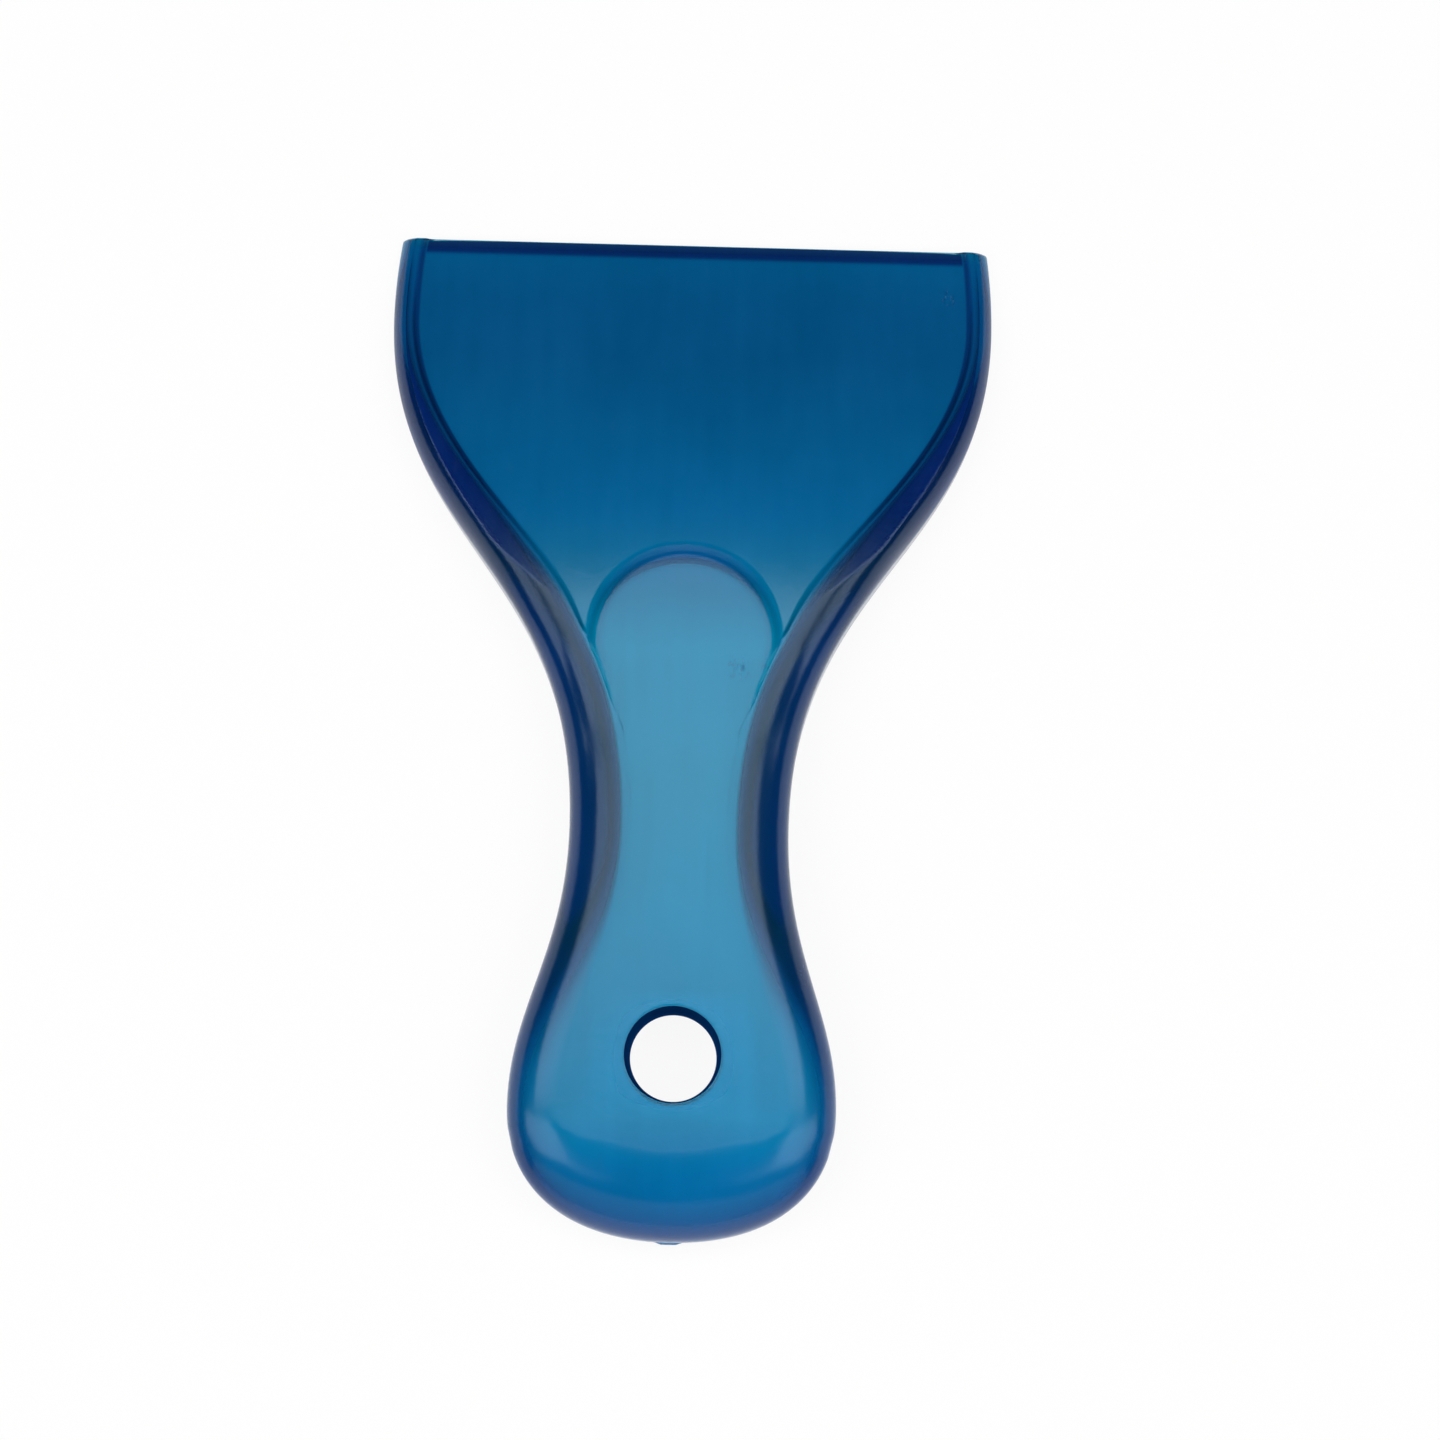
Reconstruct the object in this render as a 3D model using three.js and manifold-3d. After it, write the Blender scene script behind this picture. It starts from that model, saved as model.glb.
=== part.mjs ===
// Ice scraper: one open-backed shell moulded in translucent blue plastic, with a bevelled blade between
// two rails, a raised thumb rest, a waisted hollow handle and a hole to hang it by.
// Millimetres, +Z up. The tool lies on its flat rim with the blade edge towards +Y, and the origin is
// the middle of its footprint. Distances called behind are measured back from the blade edge.
import * as THREE from "three";
import { LoftGeometry } from "three/addons/geometries/LoftGeometry.js";
import { mergeVertices } from "three/addons/utils/BufferGeometryUtils.js";
import Module from "manifold-3d";

const wasm = await Module();
wasm.setup();

// Plan outline: half widths at the edge, the widest blade, the waist and the bulb, and where they lie.
// The bulb keeps its place from the rear end.
const length = 170;
const edgeHalfWidth = 50;
const bladeHalfWidth = 51;
const bladeBehind = 14;
const waistHalfWidth = 18.4;
const waistBehind = 100.5;
const bulbHalfWidth = 27.5;
const bulbFromEnd = 22;
const bulbBehind = length - bulbFromEnd;

// How far each stretch of the outline runs on before it turns away
const cornerSweep = 7;
const bladeSweep = 39;
const waistFrontSweep = 44;
const waistRearSweep = 22;
const bulbFrontSweep = 17;
const bulbRearSweep = 13;
const endSweep = 18;

// Walls: the roof and the blade are thin, the sides of the grip thick
const wall = 2.6;
const gripWall = 7.6;
const endWall = 4.2;

// Side profile: the top climbs straight from the blade edge, then levels into the handle
const edgeHeight = 3;
const handleHeight = 17;
const climbEndBehind = 42;
const levelBehind = 86;

// Rails beside the blade, and the shoulders that they grow into
const railHeight = 1.2;
const railWidth = 4.2;
const railRound = 1.6;
const railFlank = 0.8;
const railGrowBehind = 18;
const railEndBehind = 63;
const shoulderWidth = 9.8;
const shoulderDrop = 11;
const rearShoulderWidth = 16;
const insideFillet = 0.8;

// Thumb rest: a round-ended tongue above the blade, dished for the thumb, with a groove beside it
const thumbRadius = 14.4;
const thumbBehind = 69.4;
const thumbStep = 2.2;
const thumbSlope = 2.45;
const thumbTailShare = 0.86;
const grooveWidth = 0.3;
const dishBehind = 73;
const dishHalfWidth = 13;
const dishHalfLength = 16;
const dishDepth = 1;

// Scraping lip at the blade edge
const lipThickness = 0.9;
const bevelLength = 2;

// Hole to hang the tool by, lined by a sleeve
const holeDiameter = 15;
const holeFromEnd = 31;
const holeBehind = length - holeFromEnd;
const sleeveWall = 2.2;

// Smoothness of the curves
const bladeSteps = 12;
const thumbFrontSteps = 12;
const thumbSideSteps = 3;
const tailSteps = 8;
const gripSteps = 14;
const rearSteps = 12;
const shoulderSteps = 7;
const dishShares = [1, 0.75, 0.5, 0.25, 0];
const roundSteps = 48;
const halvings = 40;
const sameStop = 1e-6;

const { clamp, lerp, smoothstep } = THREE.MathUtils;
const frontY = length / 2;
const yAt = (behind) => frontY - behind;
const planPoint = (x, behind) => new THREE.Vector2(x, yAt(behind));

// Right-hand side of the plan outline, from the blade corner to the bulb
const sideCurves = [
  new THREE.QuadraticBezierCurve(
    planPoint(edgeHalfWidth, 0),
    planPoint(bladeHalfWidth, bladeBehind - cornerSweep),
    planPoint(bladeHalfWidth, bladeBehind),
  ),
  new THREE.CubicBezierCurve(
    planPoint(bladeHalfWidth, bladeBehind),
    planPoint(bladeHalfWidth, bladeBehind + bladeSweep),
    planPoint(waistHalfWidth, waistBehind - waistFrontSweep),
    planPoint(waistHalfWidth, waistBehind),
  ),
  new THREE.CubicBezierCurve(
    planPoint(waistHalfWidth, waistBehind),
    planPoint(waistHalfWidth, waistBehind + waistRearSweep),
    planPoint(bulbHalfWidth, bulbBehind - bulbFrontSweep),
    planPoint(bulbHalfWidth, bulbBehind),
  ),
];

// From the bulb round to the middle of the rear end
const rearCurve = new THREE.CubicBezierCurve(
  planPoint(bulbHalfWidth, bulbBehind),
  planPoint(bulbHalfWidth, bulbBehind + bulbRearSweep),
  planPoint(endSweep, length),
  planPoint(0, length),
);

// Half width of the outline at a distance behind the edge, found by halving
function halfWidthAt(behind) {
  const y = yAt(behind);
  const curve = sideCurves.find((side) => side.getPoint(1).y <= y);
  let [front, rear] = [0, 1];
  for (let i = 0; i < halvings; i++) {
    const middle = (front + rear) / 2;
    if (curve.getPoint(middle).y > y) front = middle;
    else rear = middle;
  }
  return curve.getPoint(rear).x;
}

// A value that changes smoothly from one level to another between two distances behind the edge
function ease(from, to, start, end, behind) {
  return lerp(from, to, smoothstep(behind, start, end));
}

// Height of the rails and handle: a straight climb, then a parabola that levels off
function crownHeight(behind) {
  const start = edgeHeight + railHeight;
  const bend = levelBehind - climbEndBehind;
  const slope = (2 * (handleHeight - start)) / (climbEndBehind + levelBehind);
  const turn = clamp(behind - climbEndBehind, 0, bend);
  return start + slope * (Math.min(behind, climbEndBehind) + turn - (turn * turn) / (2 * bend));
}

// Height of the blade, sunk between the rails. The step fades out where the thumb rest joins the handle.
const fade = (behind) => ease(1, 0, thumbBehind, levelBehind, behind);

function bladeHeight(behind) {
  const step = ease(railHeight, thumbStep, 0, thumbBehind - thumbRadius, behind);
  return crownHeight(behind) - step * fade(behind);
}

// The blade's top comes down in a bevel to the thin lip at its edge
function bladeTop(behind) {
  const lipTop = bladeHeight(0) - wall + lipThickness;
  const share = Math.min(behind / bevelLength, 1);
  return lerp(lipTop, bladeHeight(Math.max(behind, bevelLength)), share);
}

// Width of the rail or shoulder, and how far its rounding falls
function shoulderReach(behind) {
  const side = ease(railWidth, shoulderWidth, railGrowBehind, railEndBehind, behind);
  return ease(side, rearShoulderWidth, bulbBehind, length, behind);
}

const shoulderFall = (behind) => ease(railRound, shoulderDrop, 0, levelBehind, behind);

// Thickness of the side wall, which swells along the grip and thins again round the bulb
function sideWall(behind) {
  const grip = ease(wall, gripWall, railGrowBehind, levelBehind, behind);
  return ease(grip, endWall, waistBehind, bulbBehind, behind);
}

// Half width of the thumb rest's top or foot: a round front end, then sides that draw in to the handle
function thumbHalfWidth(behind, flat, spread) {
  const ahead = Math.max(thumbBehind - behind, 0);
  const round = Math.sqrt(Math.max((thumbRadius + spread) ** 2 - ahead ** 2, 0));
  return ease(round, flat * thumbTailShare, thumbBehind, levelBehind, behind);
}

// Height of the thumb rest's top, which slopes up from the blade ahead of its round end
function thumbTop(behind) {
  const short = clamp((thumbBehind - behind - thumbRadius) / thumbSlope, 0, 1);
  return lerp(crownHeight(behind), bladeTop(behind), short);
}

function dishAt(x, behind) {
  const away = (x / dishHalfWidth) ** 2 + ((behind - dishBehind) / dishHalfLength) ** 2;
  return dishDepth * Math.max(1 - away, 0);
}

// One cross-section of the right-hand half, from the rim to the middle, outside and inside. Its outside
// runs up the wall, round the shoulder to the rail's ridge, down the flank to the blade's floor and over
// the thumb rest. Its inside keeps an even roof under that.
function halfSection(rim, inward) {
  const behind = frontY - rim.y;
  const across = (depth) => rim.clone().addScaledVector(inward, depth);
  const at = (plan, z) => new THREE.Vector3(plan.x, plan.y, z);
  const flat = across(shoulderReach(behind));
  const seatBehind = frontY - flat.y;
  const footX = thumbHalfWidth(seatBehind, flat.x, thumbSlope);
  const seat = new THREE.Vector2(Math.max(flat.x, footX + grooveWidth * fade(seatBehind)), flat.y);
  const middleY = Math.max(seat.y, yAt(bulbBehind));
  const inside = (x, share, z) => new THREE.Vector3(x, lerp(middleY, seat.y, share * thumbTailShare), z);
  const ridge = rim.distanceTo(seat) - railFlank;
  const crown = crownHeight(seatBehind);
  const roof = bladeHeight(seatBehind) - wall;
  const fall = shoulderFall(behind);
  const insideFall = Math.max(roof - crown + fall, Math.min(insideFillet, roof / 2));
  const outer = [at(rim, 0)];
  const thick = Math.min(sideWall(behind), ridge - insideFillet);
  const inner = [at(across(thick), 0)];
  for (let i = 0; i <= shoulderSteps; i++) {
    const angle = (i / shoulderSteps) * (Math.PI / 2);
    const over = 1 - Math.cos(angle);
    const down = 1 - Math.sin(angle);
    outer.push(at(across(ridge * over), crown - fall * down));
    inner.push(at(across(lerp(thick, ridge, over)), roof - insideFall * down));
  }
  const floor = bladeTop(seatBehind);
  outer.push(at(seat, floor), inside(footX, 1, floor));
  inner.push(at(seat, roof), inside(footX, 1, roof));
  for (const share of dishShares) {
    const x = share * thumbHalfWidth(seatBehind, flat.x, 0);
    const top = thumbTop(seatBehind) - dishAt(x, seatBehind);
    const bevelled = bladeHeight(seatBehind) - floor;
    outer.push(inside(x, share, top));
    inner.push(inside(x, share, top + bevelled - wall));
  }
  return { behind, outer, inner };
}

const spaced = (from, to, steps) => Array.from({ length: steps }, (_, i) => lerp(from, to, i / steps));

// Where the cross-sections stand: closer together round the front of the thumb rest
const thumbFootRadius = thumbRadius + thumbSlope;
const thumbTipBehind = thumbBehind - thumbFootRadius;
const railEndAngle = Math.acos((thumbBehind - railEndBehind) / thumbFootRadius);
const thumbFrontStops = spaced(0, railEndAngle, thumbFrontSteps).map(
  (angle) => thumbBehind - thumbFootRadius * Math.cos(angle),
);
const sideStops = [
  0,
  ...spaced(bevelLength, thumbTipBehind, bladeSteps),
  ...thumbFrontStops,
  ...spaced(railEndBehind, thumbBehind, thumbSideSteps),
  ...spaced(thumbBehind, levelBehind, tailSteps),
  ...spaced(levelBehind, bulbBehind, gripSteps),
  bulbBehind,
];

// Sections cross the tool squarely as far as the bulb, then fan round the rear end
const sideSections = sideStops.map((behind) =>
  halfSection(planPoint(halfWidthAt(behind), behind), new THREE.Vector2(-1, 0)),
);
const rearShares = spaced(0, 1, rearSteps).slice(1);
const rearSections = rearShares.map((share) => {
  const tangent = rearCurve.getTangent(share);
  return halfSection(rearCurve.getPoint(share), new THREE.Vector2(tangent.y, -tangent.x));
});
const endSection = halfSection(planPoint(0, length), new THREE.Vector2(0, 1));
const sections = [...sideSections, ...rearSections, endSection];

// Columns of a section counted from the rim
const rimColumn = 0;
const floorColumn = shoulderSteps + 2;
const footColumn = floorColumn + 1;
const mirrored = (points) => points.map((p) => new THREE.Vector3(-p.x, p.y, p.z)).reverse();

// What one side of a section holds between two columns
function sideBand({ outer, inner }, from, to) {
  return { over: outer.slice(from, to + 1), under: inner.slice(from, to + 1) };
}

// What a section holds from one column over the middle to its mirror image
function wholeBand({ outer, inner }, from) {
  const across = (points) => [...points, ...mirrored(points)];
  return { over: across(outer.slice(from)), under: across(inner.slice(from)) };
}

// The bands of the sections between two distances behind the edge
function bands(fromBehind, toBehind, bandOf) {
  const within = ({ behind }) => behind > fromBehind - sameStop && behind < toBehind + sameStop;
  return sections.filter(within).map(bandOf);
}

// A closed three.js geometry as a solid that can be joined and cut
function solid(geometry) {
  const bare = new THREE.BufferGeometry().copy(geometry);
  const merged = mergeVertices(bare.deleteAttribute("normal").deleteAttribute("uv"));
  const triVerts = [];
  for (let i = 0; i < merged.index.count; i += 3) {
    const [a, b, c] = [0, 1, 2].map((k) => merged.index.getX(i + k));
    if (a !== b && b !== c && c !== a) triVerts.push(a, b, c);
  }
  return new wasm.Manifold(
    new wasm.Mesh({
      numProp: 3,
      vertProperties: merged.attributes.position.array,
      triVerts: new Uint32Array(triVerts),
    }),
  );
}

// A wall of bands one behind the other. At an open end its underside is folded up to its top.
function wallOf(bandList, { openStart = true, openEnd = true } = {}) {
  const loop = ({ over, under }) => [...over, ...under.toReversed()];
  const fold = ({ over }) => [...over, ...over.toReversed()];
  const rings = bandList.map(loop);
  if (openStart) rings.unshift(fold(bandList.at(0)));
  if (openEnd) rings.push(fold(bandList.at(-1)));
  return solid(new LoftGeometry(rings));
}

// One side of the moulding between two distances and two columns, and its mirror image
function sides(fromBehind, toBehind, from, to) {
  const right = wallOf(bands(fromBehind, toBehind, (section) => sideBand(section, from, to)));
  return { right, left: right.mirror([1, 0, 0]) };
}

const rails = sides(0, railEndBehind, rimColumn, floorColumn);

// The blade runs back beside the thumb rest in two horns
const horns = sides(thumbTipBehind, railEndBehind, floorColumn, footColumn);
const bladeBands = bands(0, thumbTipBehind, (section) => wholeBand(section, floorColumn));
const bladePlate = wallOf(bladeBands).add(horns.right).add(horns.left);

// The thumb rest's two sides meet at its tip
const thumbBands = bands(thumbTipBehind, levelBehind, (section) => wholeBand(section, footColumn));
const thumbRest = wallOf(thumbBands, { openStart: false });

// The handle starts in two flanks beside the thumb rest, and its two sides meet at the rear end
const flanks = sides(railEndBehind, levelBehind, rimColumn, footColumn);
const gripBands = bands(levelBehind, length, (section) => wholeBand(section, rimColumn));
const holeRadius = holeDiameter / 2;
const hole = new THREE.CylinderGeometry(holeRadius, holeRadius, 2 * handleHeight, roundSteps);
hole.rotateX(Math.PI / 2).translate(0, yAt(holeBehind), handleHeight);
const handleShell = wallOf(gripBands, { openEnd: false })
  .add(flanks.right)
  .add(flanks.left)
  .subtract(solid(hole));

// The sleeve hangs from the handle's roof down to the rim
const sleeveRadius = holeRadius + sleeveWall;
const sleeveTop = handleHeight - wall;
const sleeve = new THREE.LatheGeometry(
  [
    new THREE.Vector2(holeRadius, 0),
    new THREE.Vector2(sleeveRadius, 0),
    new THREE.Vector2(sleeveRadius, sleeveTop),
    new THREE.Vector2(holeRadius, sleeveTop),
    new THREE.Vector2(holeRadius, 0),
  ],
  roundSteps,
);
sleeve.rotateX(Math.PI / 2).translate(0, yAt(holeBehind), 0);

const plastic = { color: 0x02568c, roughness: 0.4, metalness: 0 };

// A solid as a named mesh in the moulding's satin blue plastic
function piece(name, body) {
  const { vertProperties, triVerts } = body.getMesh();
  const geometry = new THREE.BufferGeometry();
  geometry.setAttribute("position", new THREE.BufferAttribute(vertProperties, 3));
  geometry.setIndex(new THREE.BufferAttribute(triVerts, 1));
  geometry.computeVertexNormals();
  const mesh = new THREE.Mesh(geometry, new THREE.MeshStandardMaterial(plastic));
  mesh.name = name;
  return mesh;
}

const scraper = new THREE.Group();
scraper.add(
  piece("blade_plate", bladePlate),
  piece("left_rail", rails.left),
  piece("right_rail", rails.right),
  piece("thumb_rest", thumbRest),
  piece("handle_shell", handleShell),
  piece("hanging_sleeve", solid(sleeve)),
);

export default scraper;
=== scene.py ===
# %% [markdown]
# # An ice scraper moulded in one piece
# The scraper is a single shell of translucent blue plastic: a bevelled blade between two rails, a dished
# thumb rest, a waisted hollow handle and a hole to hang it by. This lesson skins that shell as one smooth
# mesh, spins the sleeve of the hole, paints the satin plastic and sets up a plain studio around it.

# %% Load the frame
import math

import bpy
import numpy as np
from mathutils import Matrix, Vector


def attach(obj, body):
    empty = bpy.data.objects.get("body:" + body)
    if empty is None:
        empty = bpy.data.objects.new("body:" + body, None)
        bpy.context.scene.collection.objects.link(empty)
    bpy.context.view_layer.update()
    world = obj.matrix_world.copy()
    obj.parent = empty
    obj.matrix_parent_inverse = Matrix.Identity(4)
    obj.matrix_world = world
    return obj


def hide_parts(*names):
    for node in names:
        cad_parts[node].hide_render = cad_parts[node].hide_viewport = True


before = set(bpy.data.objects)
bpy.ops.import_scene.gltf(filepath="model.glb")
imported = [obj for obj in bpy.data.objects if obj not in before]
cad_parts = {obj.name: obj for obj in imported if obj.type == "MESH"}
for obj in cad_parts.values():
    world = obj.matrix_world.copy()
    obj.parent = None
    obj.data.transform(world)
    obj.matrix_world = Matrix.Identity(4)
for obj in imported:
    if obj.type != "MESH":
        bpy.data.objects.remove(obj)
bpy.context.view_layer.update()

print("nodes that the moulding stands for:", sorted(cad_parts))

# %% [markdown]
# ## The measures
# All sizes are in millimetres, as a mould maker would give them. "Behind" always means the distance back
# from the blade edge, so the blade edge is at 0 and the rear end of the handle at 170. The blade edge looks
# along +Y, and the tool lies with its rim on the floor. These are the measures of the whole tool, and those
# of a detail are given where the detail is made.

# %% Measures of the moulding
MM = 0.001
LENGTH = 170.0
EDGE_HALF, BLADE_HALF, WAIST_HALF, BULB_HALF = 50.0, 51.0, 18.4, 27.5
BLADE_AT, WAIST_AT, BULB_AT = 14.0, 100.5, 148.0
EDGE_HEIGHT, HANDLE_HEIGHT = 3.0, 17.0
WALL = 2.6
print("length", LENGTH, "mm, blade edge", 2 * EDGE_HALF, "mm, height", HANDLE_HEIGHT, "mm")

# %% [markdown]
# ## The outline seen from above
# A curve tool would do for a flat outline, but here every cross-section needs to know how wide the tool is
# at its own place. So the outline is four Bezier stretches, worked out as points: corner to widest blade,
# blade to waist, waist to bulb, and round the rear end. The points between the ends of a stretch pull the
# curve towards them. Reading a width is then a plain interpolation.

# %% Outline curves
CORNER_PULL, BLADE_PULL, GRIP_PULL, NECK_PULL, BULB_PULL, REAR_PULL = 7, 53, 56.5, 122.5, 131, 161
REAR_HALF, CORNER_ROUND = 18, 0.6


def bezier(points, count=600):
    points = [np.array(p, float) for p in points]
    share = np.linspace(0, 1, count)[:, None]
    while len(points) > 1:
        points = [a + (b - a) * share for a, b in zip(points, points[1:])]
    return points[0]


blade_end, waist, bulb = (BLADE_HALF, BLADE_AT), (WAIST_HALF, WAIST_AT), (BULB_HALF, BULB_AT)
blade_corner = bezier([(EDGE_HALF, 0), (BLADE_HALF, CORNER_PULL), blade_end])
blade_to_waist = bezier([blade_end, (BLADE_HALF, BLADE_PULL), (WAIST_HALF, GRIP_PULL), waist])
waist_to_bulb = bezier([waist, (WAIST_HALF, NECK_PULL), (BULB_HALF, BULB_PULL), bulb])
rear_end = bezier([bulb, (BULB_HALF, REAR_PULL), (REAR_HALF, LENGTH), (0, LENGTH)])
outline = np.vstack([blade_corner, blade_to_waist[1:], waist_to_bulb[1:], rear_end[1:]])


def half_width(behind):
    corner = max(1 - behind / CORNER_ROUND, 0)
    return np.interp(behind, outline[:, 1], outline[:, 0]) - CORNER_ROUND * (1 - math.sqrt(1 - corner**2))


print("outline points:", len(outline), "widest half:", outline[:, 0].max(), "mm")

# %% [markdown]
# ## The heights
# From the side, the blade climbs straight from its edge, levels off under the thumb and runs flat along the
# handle. Each rule below gives one height at a distance behind the edge. Soft steps are used in place of
# sharp ones, because a mould has small radii everywhere, and they catch the light.

# %% Height rules
CLIMB_END, LEVEL_AT = 42.0, 86.0
RAIL_HEIGHT = 1.2
THUMB_RADIUS, THUMB_AT, THUMB_STEP = 14.4, 69.4, 1.4
EDGE_DROP, BEVEL, BEVEL_BLEND = 1.0, 2.5, 0.12


def soft_step(value, start, end):
    share = np.clip((value - start) / (end - start), 0, 1)
    return share * share * (3 - 2 * share)


def ramp_step(value, start, end, rounding=0.2):
    share = np.clip((value - start) / (end - start), 0, 1)
    near = min(share, 1 - share)
    curve = near * near / (2 * rounding) if near < rounding else near - rounding / 2
    rise = curve / (1 - rounding)
    return rise if share < 0.5 else 1 - rise


def ease(low, high, start, end, behind):
    return low + (high - low) * soft_step(behind, start, end)


def crown_height(behind):
    start = EDGE_HEIGHT + RAIL_HEIGHT
    bend = LEVEL_AT - CLIMB_END
    slope = 2 * (HANDLE_HEIGHT - start) / (CLIMB_END + LEVEL_AT)
    turn = np.clip((behind - CLIMB_END) / bend, 0, 1)
    return start + slope * (min(behind, CLIMB_END) + bend * (turn - turn**3 + turn**4 / 2))


def step_left(behind):
    return ease(1, 0, THUMB_AT, LEVEL_AT, behind)


def blade_height(behind):
    step = ease(RAIL_HEIGHT, THUMB_STEP, 0, THUMB_AT - THUMB_RADIUS, behind)
    return crown_height(behind) - step * step_left(behind)


def blade_top(behind):
    edge = blade_height(0) - EDGE_DROP
    bevel = edge + behind * (blade_height(BEVEL) - edge) / BEVEL
    return -BEVEL_BLEND * np.logaddexp(-bevel / BEVEL_BLEND, -blade_height(behind) / BEVEL_BLEND)


for behind in (0, 2, 20, 42, 63, 86, 139):
    print(f"behind {behind:5.1f} mm: half width {half_width(behind):5.1f}, crown {crown_height(behind):5.2f}")

# %% [markdown]
# ## The shoulders and the walls
# A rail stands along each side of the blade. Farther back it widens into a horn, and the horns become the
# shoulders of the handle. Going in from the rim, the skin climbs to a ridge, crosses a flat crest and falls
# along a flank to the blade. On the rails that climb is between a plain slope and a round, with a tight turn
# at the ridge, and on the handle it is a full round. The wall is thin at the rails and the end, and thick
# along the grip.

# %% Shoulder and wall rules
RAIL_WIDTH, HORN_WIDTH, SHOULDER_WIDTH, REAR_SHOULDER = 4.5, 11.0, 9.8, 16.0
RAIL_AT, HORN_AT, SIDE_AT, REAR_AT = 14.0, 60.0, 70.0, 158.0
RIDGE_RAIL, RIDGE_HORN, RIDGE_GRIP, RIDGE_TURN, RIDGE_ROUND = 2.2, 3.6, 8.7, 0.04, 0.5
RIDGE_EVEN, RIDGE_GROWS, RIDGE_DONE, SINK_END = 48.0, 52.0, 66.0, 64.0
FLANK_LEAST, FLANK_RAIL = 0.8, 1.4
FRONT_SINK, RAIL_SINK, HORN_SINK = 1.0, 0.6, 1.1
RAIL_ROUND, SHOULDER_DROP, REAR_DROP = 2.6, 7.0, 11.0
RAIL_WALL, GRIP_WALL, END_WALL = 1.9, 7.6, 2.8


def shoulder_reach(behind):
    horn = ease(RAIL_WIDTH, HORN_WIDTH, RAIL_AT, HORN_AT, behind)
    side = ease(horn, SHOULDER_WIDTH, HORN_AT, SIDE_AT, behind)
    return ease(side, REAR_SHOULDER, BULB_AT, LENGTH, behind)


def ridge_reach(behind):
    horn = ease(RIDGE_RAIL, RIDGE_HORN, RAIL_AT, RIDGE_EVEN, behind)
    return ease(horn, RIDGE_GRIP, RIDGE_GROWS, RIDGE_DONE, behind)


def flank_width(behind):
    return ease(FLANK_RAIL, FLANK_LEAST, HORN_AT, SIDE_AT, behind)


def shoulder_curve(turn, behind):
    share = turn / (math.pi / 2)
    slope = 1 / (1 - RIDGE_TURN / 2)
    rise = slope * share if share < 1 - RIDGE_TURN else 1 - slope * (1 - share) ** 2 / (2 * RIDGE_TURN)
    rounded = ease(RIDGE_ROUND, 1, RIDGE_EVEN, RIDGE_DONE, behind)
    over = share + (1 - math.cos(turn) - share) * rounded
    return over, 1 - rise - (math.sin(turn) - rise) * rounded


def ridge_height(behind):
    rail = ease(FRONT_SINK, RAIL_SINK, 0, RAIL_AT, behind)
    sink = ease(rail, HORN_SINK, RAIL_AT, SINK_END, behind)
    return crown_height(behind) - sink * step_left(behind)


def shoulder_fall(behind):
    side = ease(RAIL_ROUND, SHOULDER_DROP, 0, LEVEL_AT, behind)
    return ease(side, REAR_DROP, REAR_AT, LENGTH, behind)


def side_wall(behind):
    grip = ease(RAIL_WALL, GRIP_WALL, RAIL_AT, RIDGE_GROWS, behind)
    return ease(grip, END_WALL, WAIST_AT, BULB_AT, behind)


for behind in (2, 20, 63, 100, 148):
    print(f"behind {behind:5.1f} mm: shoulder {shoulder_reach(behind):5.1f}, wall {side_wall(behind):4.1f}")

# %% [markdown]
# ## The thumb rest and the gate mark
# The thumb rest is a raised tongue with a round front and a sloping edge. It runs out into the handle, and a
# shallow dish in it takes the thumb. The gate mark is a small bump low on the rear end, where the plastic
# flowed into the mould and was cut off.

# %% Thumb rest and gate mark rules
THUMB_SLOPE, THUMB_TAIL = 2.45, 0.96
GROOVE, CREST_MARGIN = 0.15, 0.5
DISH_AT, DISH_HALF_WIDTH, DISH_HALF_LENGTH, DISH_DEPTH, DISH_FALL = 73.0, 13.0, 16.0, 1.0, 1.6
GATE_HALF, GATE_LOW, GATE_HIGH = (1.2, 2.0), (0.5, 0.85), (1.9, 2.3)


def thumb_half(behind, flat, spread):
    ahead = max(THUMB_AT - behind, 0)
    round_half = math.sqrt(max((THUMB_RADIUS + spread) ** 2 - ahead**2, 0))
    margin = GROOVE + CREST_MARGIN * (1 - spread / THUMB_SLOPE)
    half = ease(round_half, flat * THUMB_TAIL, THUMB_AT, LEVEL_AT, behind)
    return min(half, flat - margin * step_left(behind))


def dish(x, behind):
    away = (x / DISH_HALF_WIDTH) ** 2 + ((behind - DISH_AT) / DISH_HALF_LENGTH) ** 2
    return DISH_DEPTH * math.exp(-DISH_FALL * away)


def gate_mark(x, z):
    across = 1 - soft_step(abs(x), *GATE_HALF)
    return across * soft_step(z, *GATE_LOW) * (1 - soft_step(z, *GATE_HIGH))


crest_tip = THUMB_AT - THUMB_RADIUS
thumb_tip = crest_tip - THUMB_SLOPE
print("thumb rest:", 2 * THUMB_RADIUS, "mm wide, its front", round(thumb_tip, 2), "mm behind the edge")
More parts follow.
